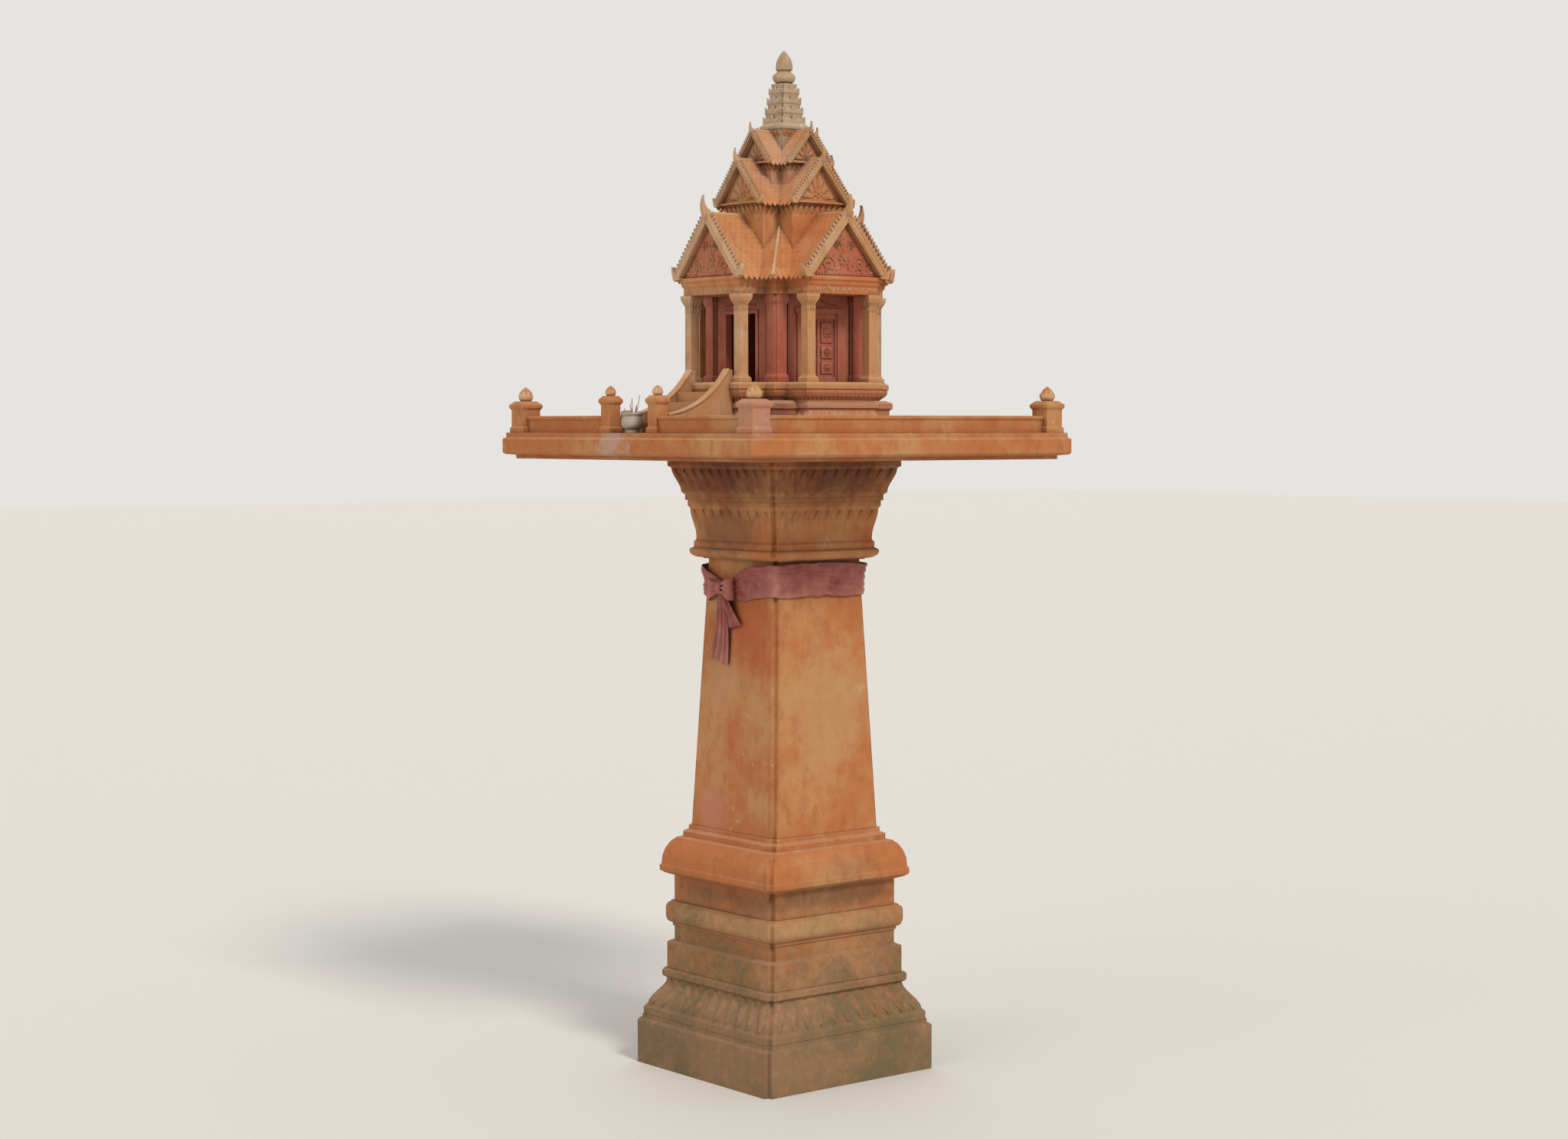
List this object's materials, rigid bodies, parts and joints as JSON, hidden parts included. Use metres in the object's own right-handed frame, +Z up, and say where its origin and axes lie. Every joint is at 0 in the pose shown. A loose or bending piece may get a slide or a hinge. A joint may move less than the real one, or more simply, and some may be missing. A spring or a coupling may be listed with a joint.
{
  "type": "spirit house",
  "caption": "Small four-porch shrine of painted cast concrete on a square platform and one tapered pedestal, for figures and offerings.",
  "frame": {"origin": "on the ground under the middle of the pedestal", "axes": "+Z up, -Y towards the front with the stair, +X to the right seen from the front"},
  "size_m": [0.9, 0.9, 2.2629],
  "materials": {
    "orange_paint": "weathered masonry paint",
    "trim_paint": "faded masonry paint",
    "red_paint": "matt red masonry paint",
    "bare_cement": "bare cement",
    "neck_cloth": "faded satin cloth"
  },
  "bodies": {
    "root": {"plinth": "orange_paint", "foot_lotus": "orange_paint", "foot_waist": "orange_paint", "foot_band": "orange_paint", "shaft_foot": "orange_paint", "shaft": "orange_paint", "neck_ring": "orange_paint", "capital": "orange_paint", "platform_support": "orange_paint", "neck_sash": "neck_cloth", "sash_knot": "neck_cloth", "platform": "orange_paint", "front_kerbs": "orange_paint", "back_kerb": "orange_paint", "left_kerb": "orange_paint", "right_kerb": "orange_paint", "corner_posts": "trim_paint", "gate_posts": "trim_paint", "incense_pot": "bare_cement", "shrine_base": "orange_paint", "porch_floor": "trim_paint", "front_steps": "trim_paint", "stair_walls": "trim_paint", "front_columns": "trim_paint", "back_columns": "trim_paint", "left_columns": "trim_paint", "right_columns": "trim_paint", "corner_piers": "red_paint", "doorway_jambs": "red_paint", "doorway_head": "red_paint", "back_wall": "red_paint", "left_wall": "red_paint", "right_wall": "red_paint", "entablature": "orange_paint", "lower_roof": "orange_paint", "porch_pediments": "red_paint", "front_bargeboard": "trim_paint", "back_bargeboard": "trim_paint", "left_bargeboard": "trim_paint", "right_bargeboard": "trim_paint", "upper_roof": "orange_paint", "top_roof": "orange_paint", "upper_bargeboards": "trim_paint", "spire": "trim_paint", "finial": "trim_paint"}
  },
  "joints": []
}
